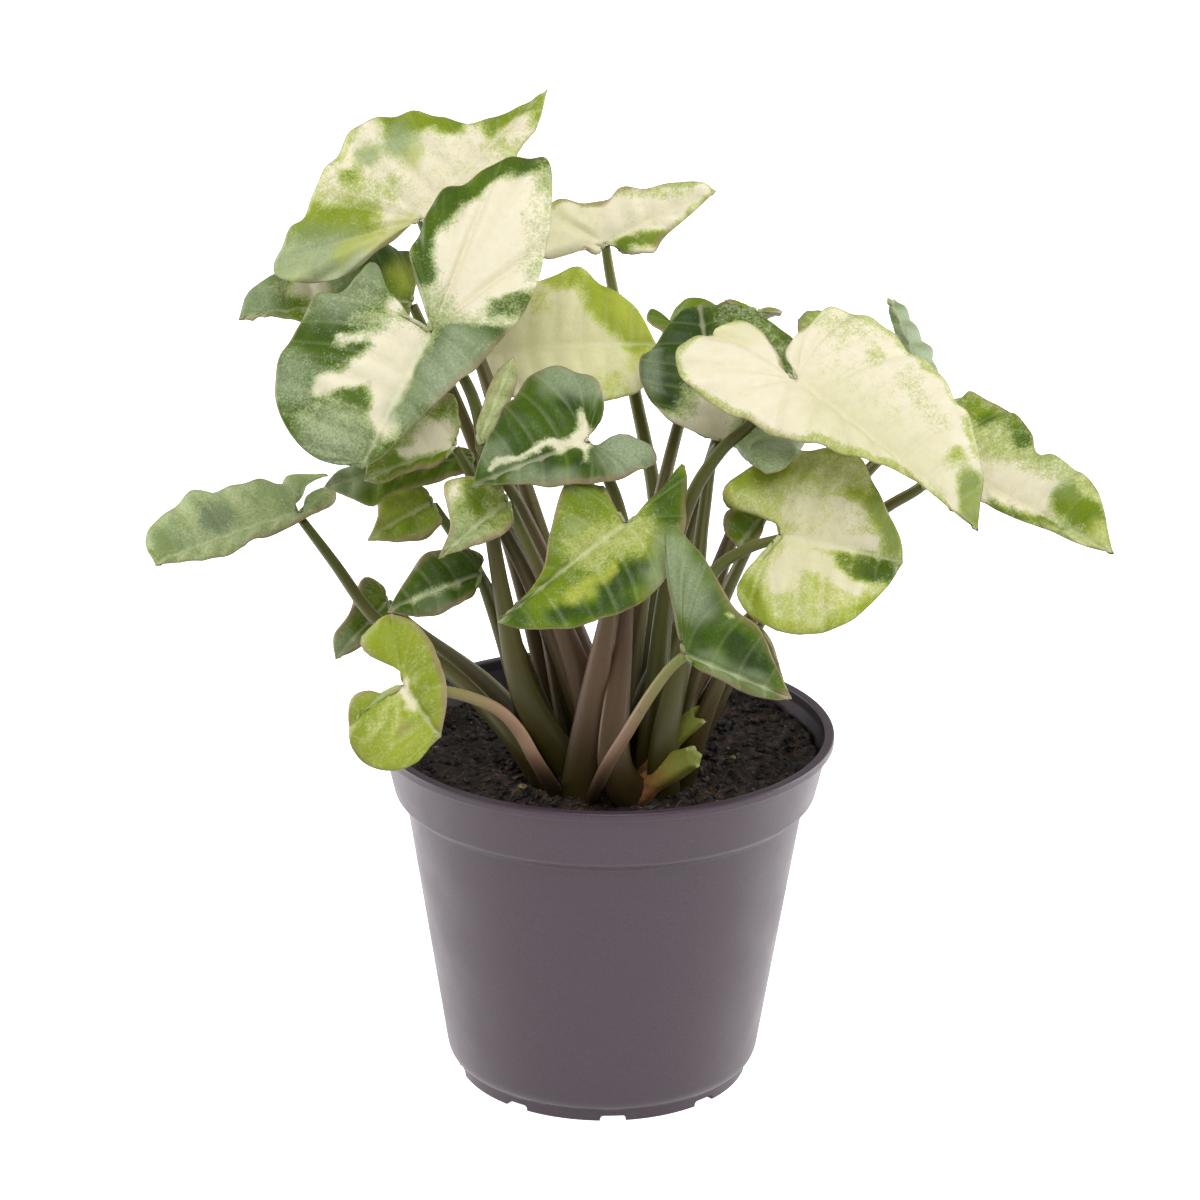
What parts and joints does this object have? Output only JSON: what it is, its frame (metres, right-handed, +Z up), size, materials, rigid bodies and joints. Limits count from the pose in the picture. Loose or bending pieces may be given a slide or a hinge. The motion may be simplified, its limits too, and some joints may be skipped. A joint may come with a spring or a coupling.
{
  "type": "arrowhead plant in nursery pot",
  "caption": "Variegated arrowhead plant with arrow-shaped cream and green leaves on a clump of stalks, growing in a round tapered nursery pot filled with soil.",
  "frame": {"origin": "on the pot's axis at the ground, where its feet stand", "axes": "+Z up, -Y the plant's front, towards the picture's camera, +X to the right seen from the front"},
  "size_m": [0.2425, 0.1429, 0.2537],
  "materials": {
    "pot_plastic": "satin moulded polypropylene",
    "potting_soil": "crumbly peat",
    "leaf_cream": "satin leaf, cream speckled with green",
    "leaf_green": "satin leaf, green with cream veins",
    "leaf_stalk": "satin fleshy stalk",
    "old_stalk": "dry cut stalk"
  },
  "bodies": {
    "root": {"nursery_pot": "pot_plastic", "potting_soil": "potting_soil", "cut_stump": "old_stalk", "leaf_crown_left": "leaf_cream", "leaf_front_butterfly": "leaf_green", "leaf_behind_left": "leaf_green", "leaf_back_top": "leaf_cream", "leaf_mid_cream": "leaf_cream", "leaf_centre_dark": "leaf_green", "leaf_curled_small": "leaf_green", "leaf_left_band": "leaf_green", "leaf_far_left": "leaf_green", "leaf_left_twist": "leaf_green", "leaf_left_dark": "leaf_green", "leaf_low_left": "leaf_green", "leaf_centre_low": "leaf_green", "leaf_droop_dark": "leaf_green", "leaf_big_cream": "leaf_cream", "leaf_behind_cream": "leaf_green", "leaf_back_arch": "leaf_green", "leaf_back_green": "leaf_green", "leaf_back_right": "leaf_green", "leaf_back_narrow": "leaf_green", "leaf_far_right": "leaf_cream", "leaf_heart_right": "leaf_cream", "leaf_left_mid_pale": "leaf_green", "leaf_left_back_yellow": "leaf_green", "leaf_young_roll": "leaf_green", "leaf_right_low_back": "leaf_green", "leaf_right_fold": "leaf_green", "stalk_crown_left": "leaf_stalk", "stalk_front_butterfly": "leaf_stalk", "stalk_behind_left": "leaf_stalk", "stalk_back_top": "leaf_stalk", "stalk_mid_cream": "leaf_stalk", "stalk_centre_dark": "leaf_stalk", "stalk_curled_small": "leaf_stalk", "stalk_left_band": "leaf_stalk", "stalk_far_left": "leaf_stalk", "stalk_left_twist": "leaf_stalk", "stalk_left_dark": "leaf_stalk", "stalk_low_left": "leaf_stalk", "stalk_centre_low": "leaf_stalk", "stalk_droop_dark": "leaf_stalk", "stalk_big_cream": "leaf_stalk", "stalk_behind_cream": "leaf_stalk", "stalk_back_arch": "leaf_stalk", "stalk_back_green": "leaf_stalk", "stalk_back_right": "leaf_stalk", "stalk_back_narrow": "leaf_stalk", "stalk_far_right": "leaf_stalk", "stalk_heart_right": "leaf_stalk", "stalk_left_mid_pale": "leaf_stalk", "stalk_left_back_yellow": "leaf_stalk", "stalk_young_roll": "leaf_stalk", "stalk_right_low_back": "leaf_stalk", "stalk_right_fold": "leaf_stalk"}
  },
  "joints": []
}
